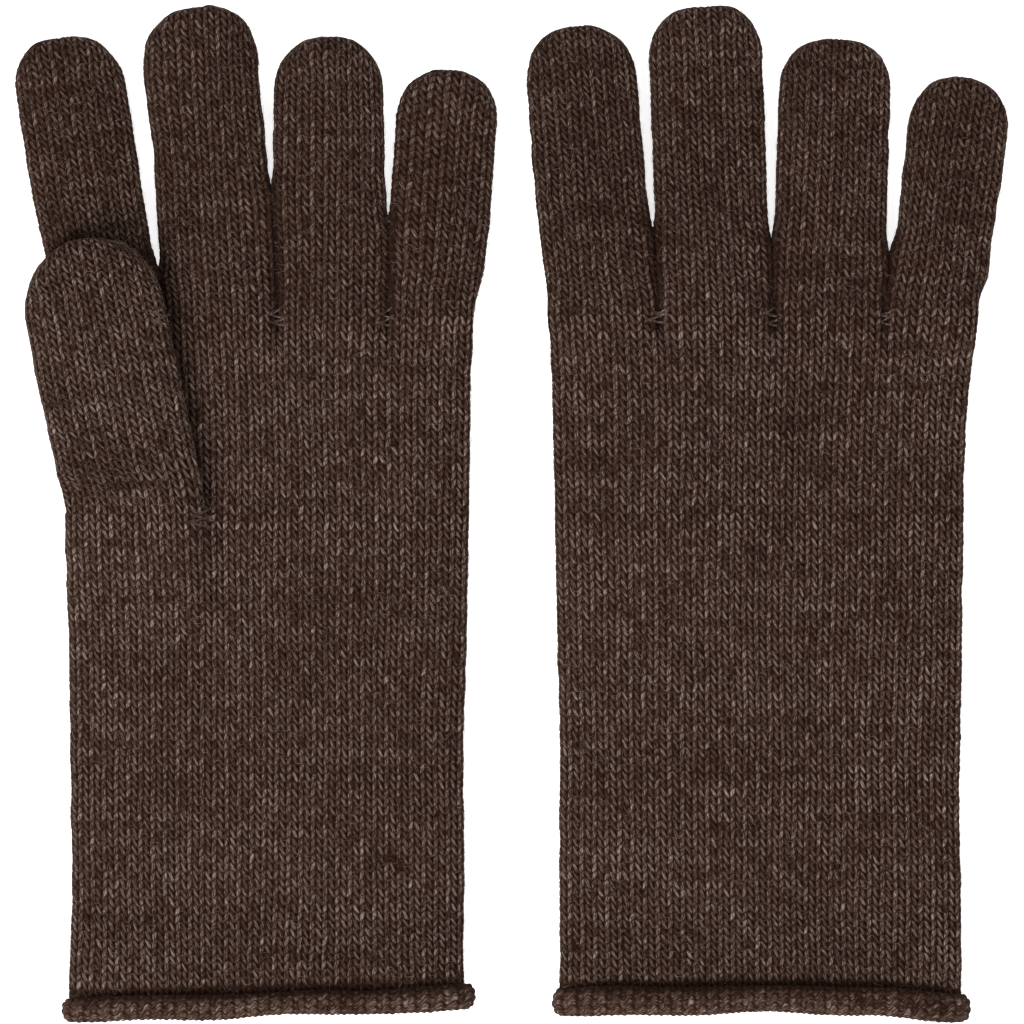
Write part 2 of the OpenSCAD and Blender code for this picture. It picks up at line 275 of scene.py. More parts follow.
def knit_shell(place, openness, wales, first, last, fineness, seed, phase=0.0, tip=False):
    """A closed hollow knitted tube over courses first to last. place gives a point at u wales round and v
    courses along, that much inside the tube's outer face. With tip the far end is closed."""
    rng = np.random.default_rng(seed)
    per_wale, rows = fineness
    courses = last - first
    columns = wales * per_wale
    pattern = np.arange(columns) / per_wale
    # One row more at each end, so that a neighbour's normals at the shared row are the same
    row = np.arange(-1, courses * rows + 2)
    u, r = np.meshgrid(pattern, row / rows)
    climb = CHEVRON * 2 * abs(u - np.round(u))
    sway = -LEG_SWAY * np.sin(2 * np.pi * r)
    base = place(u - phase + sway, first + r + climb, 0.0)
    normals = surface_normals(base, False)[1:-1]
    spacing = np.linalg.norm(np.roll(base, -1, 1) - np.roll(base, 1, 1), axis=2)[1:-1] * per_wale / 2
    base, r, u = base[1:-1], r[1:-1], u[1:-1]

    course_at = np.floor(r + 1e-6).astype(int).clip(0, courses - 1)
    leg_at = np.floor(2 * u + 1e-6).astype(int)
    fullness = rng.normal(1, 0.15, (courses, 2 * wales))
    height = leg_relief(u, np.mod(r + 1e-9, 1))
    relief = RELIEF * height * fullness[course_at, leg_at] * np.clip(spacing / WALE, 0.15, 1)
    # Seen edge on, the stitches at the sides hardly stand out
    edge_on = np.hypot(normals[..., 0], normals[..., 1])
    relief = relief * mix(1, 0.35, smooth((edge_on - 0.4) / 0.5))
    points = base + normals * relief[..., None]
    # The stitches underneath are pressed flat on the table
    points[..., 2] = np.maximum(points[..., 2], 0)

    shell = Shell()
    outer = shell.add_points(points)
    add_fuzz(shell, points, normals, rng)
    half = per_wale // 2
    face_course = np.repeat(np.arange(courses), rows)[:, None]
    face_leg = (np.arange(columns) // half)[None, :]
    # Corner places within the face's own leg
    in_leg = np.arange(columns) % half
    first_leg = face_leg[0] % 2 == 0
    here = np.where(first_leg, in_leg, half - in_leg) / per_wale
    there = np.where(first_leg, in_leg + 1, half - in_leg - 1) / per_wale
    row_low = (np.arange(courses * rows) % rows) / rows
    row_high = row_low + 1 / rows
    across = np.stack([here, here, there, there], -1)[None, :, :] - 0.25
    up = np.stack([row_low, row_high, row_high, row_low], -1)[:, None, :]
    off_centre = across - LEG_LEAN * (up - 0.5)
    leg_side = np.where(first_leg, 1.0, -1.0)[None, :, None]
    own_place = rng.uniform(0, 400, (courses, 2 * wales))[face_course, face_leg][..., None]
    strand = pairs(off_centre * leg_side * WALE, up * COURSE * 1.15 + own_place)
    leg = pairs(off_centre / LEG_HALF, up)
    shades = yarn_shades(rng, courses, 2 * wales)[face_course, face_leg][..., None]
    # The openness paints shade into the colour where little light gets in
    open_share = corner_values(openness(u - phase, first + r, base))
    shade = pairs(shades, open_share)
    shell.add_quads(grid_quads(outer), strand, leg, shade, bake_map(courses * rows, columns, *OUTER_SHARE))

    steps = max(2, courses // INNER_COURSES)
    u_in, v_in = np.meshgrid(pattern, np.linspace(first, last, steps + 1))
    v_in = v_in + CHEVRON * 2 * abs(u_in - np.round(u_in)) * (1 - (v_in - first) / courses if tip else 1)
    inner = shell.add_points(place(u_in - phase, v_in, FABRIC))
    plain = grid_quads(inner)[..., ::-1]
    inner_strand = pairs(corner_values(u_in * WALE), corner_values(v_in * COURSE))
    inner_bake = bake_map(steps, columns, *INNER_SHARE)
    shell.add_quads(plain, inner_strand[..., ::-1, :], EDGE_LEG, EDGE_SHADE, inner_bake[..., ::-1, :])
    shell.band(inner[0], outer[0], 0.96, 0.012)
    if tip:
        for ring, bake_row, outward in ((outer[-1], 0.01, True), (inner[-1], 0.03, False)):
            close_tip(shell, ring, bake_row, outward)
    else:
        shell.band(outer[-1], inner[-1], 0.98, 0.012)
    return shell


# Loose fibres: square millimetres of fabric to each, length and thickness in millimetres
FIBRE_AREA = 5.0
FIBRE_LENGTH = (0.9, 2.4)
FIBRE_WIDTH = 0.06
FIBRE_SHADE = (0.6, 0.9)


def add_fuzz(shell, points, normals, rng):
    """Loose wool fibres that curl out of the surface and lie nearly flat on it."""
    rows, columns = points.shape[:2]
    step = np.linalg.norm(points[1:, ::4] - points[:-1, ::4], axis=2).mean()
    side = np.linalg.norm(points[::4, 1:] - points[::4, :-1], axis=2).mean()
    count = int(rows * columns * step * side / FIBRE_AREA)
    at_row, at_column = rng.integers(2, rows - 14, count), rng.integers(0, columns, count)
    root, normal = points[at_row, at_column], normals[at_row, at_column]
    heading = np.cross(normal, rng.normal(size=(count, 3)))
    heading /= np.maximum(np.linalg.norm(heading, axis=1, keepdims=True), 1e-6)
    length = rng.uniform(*FIBRE_LENGTH, (count, 1))
    rise = rng.uniform(0.15, 0.6, (count, 1))
    bend = np.cross(normal, heading) * rng.normal(0, 0.35, (count, 1)) * length
    t = np.array([0.0, 0.3, 0.65, 1.0])[None, :, None]
    line = root[:, None] + (heading * length)[:, None] * t + bend[:, None] * t**2
    line = line + (normal * rise)[:, None] * np.sin(np.pi * (0.1 + 0.8 * t))
    width = FIBRE_WIDTH * (1.1 - 0.8 * t) / 2
    a, b = np.cross(normal, heading)[:, None], normal[:, None]
    ring = [line + width * (a * x + b * z) for x, z in ((1, 0), (0, 1), (-1, 0), (0, -1))]
    fibre = np.stack(ring, 2)
    fibre[..., 2] = np.maximum(fibre[..., 2], 0)
    numbers = shell.add_points(fibre.reshape(count, -1, 3)).reshape(count, 4, 4)
    below, above = numbers[:, :-1], numbers[:, 1:]
    sides = np.stack([below, np.roll(below, -1, 2), np.roll(above, -1, 2), above], -1)
    ends = np.stack([numbers[:, 0, ::-1], numbers[:, -1]], 1)
    shade = rng.uniform(*FIBRE_SHADE, count)
    cell = 1 / math.ceil(math.sqrt(count) * 3)
    x0 = (np.arange(count) * cell) % (1 - cell)
    y0 = 0.05 + 0.055 * np.arange(count) / count
    corner = np.stack([np.stack([x0, y0], -1), np.stack([x0, y0 + 0.0002], -1)], 1)
    bake = np.stack([corner[:, 0], corner[:, 0] + [cell, 0], corner[:, 1] + [cell, 0], corner[:, 1]], 1)
    for quads in (sides, ends):
        spread = (count,) + (1,) * (quads.ndim - 2)
        shades = pairs(shade, np.ones(count)).reshape(*spread, 1, 2)
        corners = bake.reshape(*spread, 4, 2)
        shell.add_quads(quads, [0.0, 0.0], [0.0, 0.5], shades, corners)


def close_tip(shell, ring, bake_row, outward, bake_height=0.01):
    """Joins the upper half of a tube's last ring to its lower half."""
    half = len(ring) // 2
    upper = ring[:half]
    lower = ring[-1 - np.arange(half)]
    corners = [upper[:-1], lower[:-1], lower[1:], upper[1:]]
    quads = np.stack(corners if outward else corners[::-1], -1)
    bake = bake_map(1, half - 1, bake_row, bake_row + bake_height)[0]
    shell.add_quads(quads, [0.0, 0.0], EDGE_LEG, EDGE_SHADE, bake)


# ---------------------------------------------------------------- shapes of a glove


# How the hem lies, in millimetres: its lift, its slope, its arch and how far its right end droops
HEM_LIES = {"left": (0.6, 1.5, 0.0, 0.0), "right": (1.9, 0.0, 1.0, 1.6)}
# How far the hand spreads on its left side, on its right side below the thumb, and there at the crotches
SPREAD = {"left": (0.2, -0.5, -0.7), "right": (1.0, 0.4, -0.7)}
# How each digit lies: how much longer it is than in the CAD, how far its left and right sides spread, where
# along it they have spread, how long its tip's round part is, and how square its left and right shoulders are
LIES = {
    "left": {
        "index": (-2.5, 1.1, -0.3, 25.0, 15.0, 2.9, 2.2),
        "middle": (0.2, 1.2, -1.1, 50.0, 15.0, 2.3, 2.4),
        "ring": (0.6, 1.4, -1.2, 30.0, 14.5, 2.3, 2.4),
        "little": (1.5, 2.6, 1.0, 20.0, 13.5, 2.2, 2.2),
        "thumb": (-1.8, -0.3, 0.0, 45.0, 17.5, 2.0, 2.05),
    },
    "right": {
        "index": (0.3, 0.4, -0.2, 20.0, 14.5, 2.4, 2.3),
        "middle": (0.3, 0.5, 0.0, 20.0, 14.0, 2.6, 2.6),
        "ring": (0.2, 0.4, -0.4, 20.0, 14.5, 2.4, 2.4),
        "little": (0.0, 0.1, 0.8, 30.0, 13.5, 2.2, 2.3),
        "thumb": (0.0, 0.0, 0.0, 20.0, 19.0, 2.3, 2.3),
    },
}
# Each roll's thickness, as a share of the CAD's
ROLL_SIZE = {"left": 0.9, "right": 1.06}
# How far up from its crotch each gap between fingers stays closed
TOUCHING = {"left": (14.0, 34.0, 24.0), "right": (24.0, 22.0, 19.0)}


class Digit:
    """A finger or a thumb: a flattened tube that leans sideways and ends in a round tip."""

    turn_run = 18.0
    root_run = 13.0
    round_height = 5.0

    def __init__(self, base, lean, half_w, loft, reach, low, wales, lies):
        *self.lies, self.tip_len, left_power, right_power = lies
        self.tip_powers = (left_power, right_power)
        self.root = None
        self.pressed = None
        self.phase = 0.0
        self.neighbours = {}
        self.shaded_by = None
        # The fingers' colour is painted a little darker than the palm's, as painted shade
        self.lit = 0.9
        self.base = base
        self.lean = lean
        self.half_w = half_w
        self.half_h = loft / 2
        self.reach = reach
        self.low = low
        self.wales = wales
        self.table = section_table(half_w, self.half_h, FINGER_POWER)
        along = np.linspace(0, reach - 0.02, 4000)
        rise = self.half_h * self.height_share(along)
        arc = np.concatenate([[0], np.cumsum(np.hypot(np.diff(along), np.diff(rise)))])
        self.courses = round(arc[-1] / COURSE * 1.04)
        self.along = along
        self.course_at = arc / arc[-1] * self.courses

    def height_share(self, along):
        t = ((along - (self.reach - self.round_height)) / self.round_height).clip(0, 1)
        return np.sqrt(1 - t**2)

    def width_share(self, along, power):
        t = ((along - (self.reach - self.tip_len)) / self.tip_len).clip(0, 1)
        return np.clip(1 - t**power, 1e-6, 1) ** (1 / power)

    def place(self, u, v, inset):
        x, z = on_section(u, self.wales, self.table)
        along = np.where(v > 0, np.interp(v, self.course_at, self.along), v * COURSE)
        left_power, right_power = self.tip_powers
        share = np.where(x < 0, self.width_share(along, left_power), self.width_share(along, right_power))
        # Towards the tip the middle wales run on straight and the outer ones gather along the outline
        crowd = abs(x) / share
        limit = 1 / share
        gathered = share * crowd / (1 + crowd**6) ** (1 / 6) / (limit / (1 + limit**6) ** (1 / 6))
        side = np.sign(x) * mix(share * abs(x), gathered, smooth((1 - share) / 0.15))
        across = (abs(side) / share).clip(0, 1)
        crown = np.sign(z) * (1 - across**FINGER_POWER) ** (1 / FINGER_POWER)
        z_unit = np.where(share < 1, crown, z)
        side = side * (self.half_w - inset + 0.1)
        if self.pressed:
            side = side + np.sign(side) * abs(x) ** 2 * self.pressed(along, side > 0)
        left_out, right_out, start = self.lies
        lying = smooth((along - start + 10) / 20)
        side = side + lying * np.where(side > 0, right_out, -left_out) * abs(x)
        along = along * (self.reach - inset - STAND_OUT * 0.6) / self.reach
        turn = self.lean * smooth(along / self.turn_run)
        px = self.base[0] + along * math.sin(self.lean) + side * np.cos(turn)
        py = self.base[1] + along * math.cos(self.lean) - side * np.sin(turn)
        height_share = self.height_share(along * self.reach / (self.reach - inset))
        height = (self.half_h - inset - STAND_OUT) * height_share
        pz = self.low(px, py) + self.half_h + height * z_unit
        p = settle(np.stack([px, py, pz], -1))
        if self.root:
            held, share = self.root(u, v, inset)
            p = mix(held, p, mix(1, smooth(along / self.root_run), share)[..., None])
        return p

    def openness(self, u, v, p):
        """Share of the light that reaches the fabric, painted into its colour as shade: less where two
        fingers press together.
        """
        x, z = on_section(u, self.wales, self.table)
        along = np.interp(v, self.course_at, self.along)
        total = np.ones_like(x) if self.shaded_by is None else self.shaded_by(p)
        for is_right, (start, opening, length) in self.neighbours.items():
            edge = smooth((1 - abs(x)) * self.half_w / 2.8)
            deep = 1 - smooth((along - length + 2) / 8)
            total = total * np.where((x > 0) == is_right, mix(1, mix(0.12, 1, edge), deep), 1)
        return total * self.lit


wander_x = ripples(11, 46)
wander_y = ripples(12, 40)
drift_x = ripples(14, 9)
drift_y = ripples(15, 8)
pucker = ripples(13, 21)


def settle(p):
    """Hand-knitted fabric is never quite even: it wanders a little sideways and puckers a little upwards."""
    x, y, z = p[..., 0], p[..., 1], p[..., 2]
    lifted = smooth((z - 3) / 5)
    x_off = 0.35 * wander_x(x, y) + 0.12 * drift_x(x, y)
    y_off = 0.3 * wander_y(x, y) + 0.2 * drift_y(x, y)
    return np.stack([x + x_off, y + y_off, z + 0.3 * lifted * pucker(x, y)], -1)


class Glove:
    """One glove's measures, read from its CAD nodes, and the shapes that follow from them."""

    cover_run = 40.0
    hem_run = 24.0
    throat_len = 34.0
    lobe_run = 12.0

    def __init__(self, side):
        self.side = side
        self.palm_up = side == "left"
        cuff = node_points(f"{side}_cuff")
        lower = end_ring(f"{side}_lower_palm", True)
        upper = end_ring(f"{side}_upper_palm", True)
        self.middle, self.cuff_half = span(end_ring(f"{side}_cuff", True), 0)
        self.hem_top = cuff[:, 1].min()
        self.wrist = node_points(f"{side}_lower_palm")[:, 1].min()
        self.thumb_line = lower[0, 1]
        self.crotch = upper[0, 1]
        self.palm_half = span(lower, 0)[1]
        self.crotch_middle, self.crotch_half = span(upper, 0)
        self.loft = cuff[:, 2][cuff[:, 1] > self.wrist - 5].max()
        mouth = end_ring(f"{side}_cuff", False)
        self.mouth_low = mouth[:, 2].min()
        self.mouth_high = mouth[:, 2].max()
        self.read_thumb()
        self.read_courses()
        self.table = section_table(self.palm_half, self.loft / 2, HAND_POWER)
        self.digits = {finger: self.read_finger(finger) for finger in FINGERS}
        self.thumb = self.make_thumb()
        for digit in self.digits.values():
            self.grow_from_hand(digit, self.marks[3], False)
        if self.palm_up:
            self.grow_from_hand(self.thumb, self.marks[2], True)
        self.press_fingers()

    def grow_from_hand(self, digit, course, top_only):
        """The digit's first stitches go on from the hand's, on the hand's own surface."""
        x, y = digit.base
        reach = digit.half_w + 0.55
        middle, first, last = (self.wale_at(at_x, y) for at_x in (x, x + reach, x - reach))
        digit.phase = (middle - digit.wales / 4) % 1

        def root(u, v, inset):
            turn = np.mod(u, digit.wales)
            below = turn > digit.wales / 2
            over = np.where(below, digit.wales - turn, turn)
            wale = np.clip(middle + over - digit.wales / 4, first, last)
            wale = np.where(below, HAND_WALES - wale, wale)
            height = on_section(u, digit.wales, digit.table)[1]
            share = smooth(1.6 * height) if top_only else np.ones_like(turn)
            return self.place(wale, course + v, inset, top_only), share

        digit.root = root

    def press_fingers(self):
        """Neighbouring fingers press together from their crotch up to where the gap between them opens."""
        row = list(self.digits.values())
        for k, digit in enumerate(row):
            sides = digit.neighbours
            for is_right, other, crotch in ((False, k - 1, k - 1), (True, k + 1, k)):
                if 0 <= other < 4:
                    near = row[other]
                    start = abs(near.base[0] - digit.base[0]) - near.half_w - digit.half_w
                    opening = abs(math.tan(near.lean) - math.tan(digit.lean))
                    sides[is_right] = (start, opening, TOUCHING[self.side][crotch])
            if self.palm_up and k < 2:
                digit.shaded_by = self.beside_thumb

            def pressed(along, right, sides=sides):
                total = 0 * along
                for is_right, (start, opening, length) in sides.items():
                    gap = np.maximum(start + along * opening, 0) / 2 + 0.2
                    closed = 1 - smooth((along - length + 7) / 11)
                    total = total + np.where(right == is_right, gap * closed, 0)
                return total

            digit.pressed = pressed

    def read_thumb(self):
        ring = end_ring(f"{self.side}_thumb", False)
        cap = end_ring(f"{self.side}_thumb", True)
        self.thumb_x, self.thumb_half = span(ring, 0)
        self.thumb_low = ring[:, 2].min()
        self.thumb_loft = ring[:, 2].max() - self.thumb_low
        self.thumb_rise_y = cap[0, 1] - self.thumb_line
        self.thumb_slope = (span(cap, 0)[0] - self.thumb_x) / self.thumb_rise_y
        # Where the right glove lies over its thumb, soft fabric is squeezed flatter than the CAD's solid
        self.squeeze = 1.0 if self.palm_up else 0.78
        self.cover = 0.0 if self.palm_up else self.thumb_loft * self.squeeze + 0.2

    def read_courses(self):
        """Course numbers at the hem, wrist, thumb line and crotch, with one knot past each end."""
        marks = [self.hem_top, self.wrist, self.thumb_line, self.crotch]
        counts = [round((b - a) / COURSE) for a, b in zip(marks, marks[1:])]
        self.marks = [0, counts[0], counts[0] + counts[1], sum(counts)]
        spare = 12
        self.course_knots = [-spare, *self.marks, sum(counts) + spare]
        self.y_knots = [marks[0] - spare * COURSE, *marks, marks[-1] + spare * COURSE]

    def read_finger(self, finger):
        base = end_ring(f"{self.side}_{finger}_base", False)
        knuckle = end_ring(f"{self.side}_{finger}_end", False)
        x, half_w = span(base, 0)
        y = base[0, 1]
        lean = math.atan2(span(knuckle, 0)[0] - x, knuckle[0, 1] - y)
        tip_y = node_points(f"{self.side}_{finger}_end")[:, 1].max()
        loft = node_points(f"{self.side}_little_base")[:, 2].max()
        wales = 2 * round((half_w + loft / 4) * 2 / DIGIT_WALE)
        longer, *lies = LIES[self.side][finger]
        reach = (tip_y - y) / math.cos(lean) + longer
        return Digit((x, y), lean, half_w, loft, reach, self.under, wales, lies)

    def make_thumb(self):
        lean = math.atan(self.thumb_slope)
        y = self.thumb_line
        tip_y = node_points(f"{self.side}_thumb")[:, 1].max()
        loft = self.thumb_loft * self.squeeze
        wales = 2 * round((self.thumb_half + loft / 4) * 2 / DIGIT_WALE)
        low = self.thumb_low

        def thumb_low(px, py):
            return low + 0 * px

        longer, *lies = LIES[self.side]["thumb"]
        reach = (tip_y - y) / math.cos(lean) + longer
        base = (self.thumb_x, y)
        thumb = Digit(base, lean, self.thumb_half, loft, reach, thumb_low, wales, lies)
        # The thumb's colour is painted a little lighter, as painted light
        thumb.lit = 1.06
        return thumb

    def under(self, x, y):
        """How far the fabric is lifted off the table where it lies over the thumb."""
        reach = self.thumb_rise_y - self.thumb_half
        t = np.clip(y - self.thumb_line, 0, reach)
        right = np.maximum(0, x - (self.thumb_x + self.thumb_slope * t))
        past = y - self.thumb_line - t
        distance = np.hypot(right, past)
        return self.cover * (1 - smooth((distance - self.thumb_half + 8) / self.cover_run))

    def throat(self, x, y):
        """How far the palm's upper face has risen, where it widens into the thumb."""
        grow = smooth((y - (self.thumb_line - self.throat_len)) / self.throat_len)
        if not self.palm_up:
            return self.under(x, self.thumb_line + 0 * y) * grow
        height = self.thumb_low + self.thumb_loft - self.loft
        beyond = x - (self.thumb_x + self.thumb_half)
        return height * grow * (1 - smooth((beyond + 5) / 8))

    def outline(self, y):
        t = (y - self.wrist) / (self.thumb_line - self.wrist)
        top = ((y - self.thumb_line) / (self.crotch - self.thumb_line)).clip(0, 1)
        half = mix(self.cuff_half, self.palm_half, t.clip(0, 1))
        half = mix(half, self.crotch_half, top**1.8)
        left_out, right_low, right_high = SPREAD[self.side]
        right_out = mix(right_low, right_high, smooth(top))
        middle = mix(self.middle, self.crotch_middle, smooth(top)) + (right_out - left_out) / 2
        return middle, half + (right_out + left_out) / 2

    def lobes(self, x, crown, y):
        """Just below the crotches the flat hand parts into its four fingers."""
        part = smooth((y - self.crotch + self.lobe_run) / self.lobe_run) ** 1.6
        finger = np.zeros_like(crown)
        for digit in self.digits.values():
            across = abs(x - digit.base[0]) / digit.half_w
            own = np.clip(1 - across**FINGER_POWER, 0, 1) ** (1 / FINGER_POWER)
            finger = np.where(across < 1, own, finger)
        return mix(crown, np.sign(crown) * finger, part)

    def place(self, u, v, inset, as_lower=False):
        """A point of the hand. With as_lower the lower palm goes on past the thumb line, as the thumb."""
        x_unit, z_unit = on_section(u, HAND_WALES, self.table)
        y = np.interp(v, self.course_knots, self.y_knots)
        middle, half = self.outline(y)
        x = middle + (half - inset - STAND_OUT) * x_unit
        hem = 1 - smooth((y - self.hem_top) / self.hem_run)
        y = y + hem * self.hem_shift(x_unit)
        below_thumb = (y <= self.thumb_line) | as_lower
        low = self.mouth_low * hem + np.where(below_thumb, 0, self.under(x, y))
        high = mix(self.loft, self.mouth_high, hem)
        high = high + np.where(below_thumb, self.throat(x, y), self.under(x, y))
        crown = self.lobes(x, z_unit, y)
        half_h = (high - low) / 2
        z = low + half_h + (half_h - inset - STAND_OUT) * crown
        return settle(np.stack([x, y, z], -1))

    def place_lower(self, u, v, inset):
        return self.place(u, v, inset, True)

    def hem_shift(self, x_unit):
        """The hem doesn't lie quite straight: how far it is off towards the fingers."""
        lift, slope, arch, droop = HEM_LIES[self.side]
        return lift + slope * x_unit - arch * x_unit**2 - droop * smooth((x_unit - 0.55) / 0.4)

    def openness(self, u, v, p):
        """Share of the light that reaches the fabric, painted into its colour as shade: little in the dip
        behind the roll and at crotches.
        """
        x_unit = (p[..., 0] - self.middle) / self.cuff_half
        behind = p[..., 1] - self.hem_shift(x_unit) - self.hem_top
        total = mix(0.22, 1, smooth((behind + 0.5) / 2.6))
        near_crotch = smooth((p[..., 1] - self.crotch + 5) / 5)
        row = list(self.digits.values())
        for a, b in zip(row, row[1:]):
            between = (a.base[0] + a.half_w + b.base[0] - b.half_w) / 2
            total = total * mix(1, mix(0.15, 1, smooth(abs(p[..., 0] - between) / 2.8)), near_crotch)
        if self.palm_up:
            total = total * np.where(v > self.marks[2], self.beside_thumb(p), 1)
        return total

    def beside_thumb(self, p):
        """The thumb's shadow, painted on the fabric close beside it."""
        thumb = self.thumb
        dx, dy = p[..., 0] - thumb.base[0], p[..., 1] - thumb.base[1]
        along = dx * math.sin(thumb.lean) + dy * math.cos(thumb.lean)
        across = dx * math.cos(thumb.lean) - dy * math.sin(thumb.lean)
        past = along - np.clip(along, 0, thumb.reach - thumb.half_w)
        away = np.hypot(across, past) - thumb.half_w
        outside = smooth((away + 0.4) / 2.8)
        well_under = smooth((-away - 2) / 4)
        shaded = mix(0.35, 1, np.maximum(outside, well_under))
        return mix(1, shaded, smooth((along - 1) / 8))

    def wale_at(self, x, y):
        """Wales from the right side to x, over the top."""
        middle, half = self.outline(y)
        unit = (x - middle) / (half - STAND_OUT)
        return np.interp(-unit, -self.table[1], self.table[0]) * HAND_WALES / 2


# ---------------------------------------------------------------- materials


class Nodes:
    """Short names for building a material's node tree."""

    def __init__(self, name):
        self.material = bpy.data.materials.new(name)
        self.material.use_nodes = True
        self.tree = self.material.node_tree
        self.shader = self.tree.nodes["Principled BSDF"]

    def fill(self, node, **inputs):
        for key, value in inputs.items():
            self.set(node.inputs[key.replace("_", " ")], value)
        return node

    def new(self, kind, **inputs):
        return self.fill(self.tree.nodes.new(kind), **inputs)

    def set(self, socket, value):
        if isinstance(value, bpy.types.NodeSocket):
            self.tree.links.new(value, socket)
        else:
            socket.default_value = value

    def math(self, operation, a, b=0.0):
        node = self.tree.nodes.new("ShaderNodeMath")
        node.operation = operation
        self.set(node.inputs[0], a)
        self.set(node.inputs[1], b)
        return node.outputs[0]

    def map_range(self, value, low, high, to_low, to_high):
        node = self.new("ShaderNodeMapRange")
        for socket, v in zip(node.inputs, (value, low, high, to_low, to_high)):
            self.set(socket, v)
        return node.outputs[0]

    def ramp(self, value, stops):
        node = self.tree.nodes.new("ShaderNodeValToRGB")
        elements = node.color_ramp.elements
        while len(elements) < len(stops):
            elements.new(0.5)
        for element, (place, colour) in zip(elements, stops):
            element.position = place
            element.color = (*linear(colour), 1)
        self.set(node.inputs[0], value)
        return node.outputs[0]

    def uv(self, name):
        node = self.tree.nodes.new("ShaderNodeUVMap")
        node.uv_map = name
        return node.outputs[0]

    def noise(self, vector, scale, detail, rough):
        node = self.new("ShaderNodeTexNoise", Vector=vector, Scale=scale, Detail=detail, Roughness=rough)
        return node.outputs[0]

    def stretch(self, vector, scale):
        return self.new("ShaderNodeMapping", Vector=vector, Scale=scale).outputs[0]


def linear(colour):
    """Linear values of an sRGB colour given as three numbers up to 255."""
    return tuple((c / 255 / 12.92) if c <= 10 else ((c / 255 + 0.055) / 1.055) ** 2.4 for c in colour)


# How far the plies lean over as they go up a leg, and the painted light left at the bottom of a ditch between
# legs
PLY_TURN = 0.36
DITCH_LIGHT = 0.35


def wool(name, tone=0.0):
    """Heathered brown wool: bright streaks where its plies twist round each leg, partly paler fibres and
    partly painted highlight, pale flecks and loose fibres, and painted shade nearly black between the legs.
    tone makes the whole lighter or darker."""
    n = Nodes(name)
    strand = n.new("ShaderNodeSeparateXYZ", Vector=n.uv("Strand"))
    leg = n.new("ShaderNodeSeparateXYZ", Vector=n.uv("Leg"))
    look = n.new("ShaderNodeSeparateXYZ", Vector=n.uv("Shade"))
    place = n.new("ShaderNodeTexCoord").outputs["Object"]

    # The plies turn the same way round every leg. The bright streaks painted along them are partly the plies'
    # paler fibres and partly painted highlight
    across = n.math("SUBTRACT", strand.outputs[0], n.math("MULTIPLY", strand.outputs[1], PLY_TURN))
    ply_place = n.new("ShaderNodeCombineXYZ", X=across, Y=strand.outputs[1])
    plies = n.noise(n.stretch(ply_place.outputs[0], (3.2, 0.5, 1)), 1.0, 2.0, 0.5)
    plies = n.map_range(plies, 0.36, 0.64, 0.0, 1.0)
    fine = n.noise(n.stretch(ply_place.outputs[0], (8.0, 1.4, 1)), 1.0, 2.0, 0.6)
    fuzz = n.noise(place, 1300, 3.0, 0.7)
    thread = n.math("ABSOLUTE", n.math("SUBTRACT", n.noise(place, 560, 1.5, 0.5), 0.5))
    thread = n.map_range(thread, 0.0, 0.016, 1.0, 0.0)
    patch = n.noise(place, 60, 2.0, 0.5)

    total = n.math("ADD", look.outputs[0], tone)
    for value, middle, amount in (
        (plies, 0.44, 0.54),
        (fine, 0.5, 0.60),
        (fuzz, 0.5, 0.60),
        (patch, 0.5, 0.20),
        (thread, 0.15, 0.20),
    ):
        total = n.math("ADD", total, n.math("MULTIPLY", n.math("SUBTRACT", value, middle), amount))

    # Painted shade: little light gets down between the legs, so the colour is darkened there, at the legs'
    # ends and where the Shade map's openness is low
    side = n.map_range(n.math("ABSOLUTE", leg.outputs[0]), 0.68, 1.25, 1.0, 0.0)
    up = n.math("SUBTRACT", leg.outputs[1], 0.5)
    end = n.map_range(n.math("ABSOLUTE", up), 0.28, 0.5, 1.0, 0.5)
    from_ditch = n.math("ADD", n.math("MULTIPLY", leg.outputs[0], LEG_HALF), n.math("MULTIPLY", up, LEG_LEAN))
    ditch = n.map_range(n.math("ABSOLUTE", from_ditch), 0.17, 0.245, 1.0, DITCH_LIGHT)
    light = n.math("MULTIPLY", n.math("MULTIPLY", side, end), n.math("MULTIPLY", ditch, look.outputs[1]))
    total = n.math("MULTIPLY", total, n.map_range(light, 0.0, 1.0, 0.12, 1.0))
    colour = n.ramp(
        total,
        [
            (0.00, (30, 12, 6)),
            (0.20, (46, 28, 20)),
            (0.42, (72, 52, 43)),
            (0.62, (98, 81, 72)),
            (0.82, (134, 118, 109)),
            (1.00, (164, 149, 140)),
        ],
    )

    height = n.math("ADD", plies, n.math("MULTIPLY", fuzz, 0.7))
    bump = n.new("ShaderNodeBump", Strength=0.8, Distance=0.22 * MM, Height=height)
    n.fill(n.shader, Base_Color=colour, Normal=bump.outputs[0], Roughness=0.95, Specular_IOR_Level=0.1)
    n.fill(n.shader, Sheen_Weight=0.06, Sheen_Roughness=0.6, Sheen_Tint=(*linear((150, 122, 104)), 1))
    return n.material


KNIT = wool("knit")
HEM_KNIT = wool("hem_knit", -0.12)
JOIN_KNIT = wool("join_knit", 0.04)
YARN = wool("yarn")


# ---------------------------------------------------------------- the rolled hem


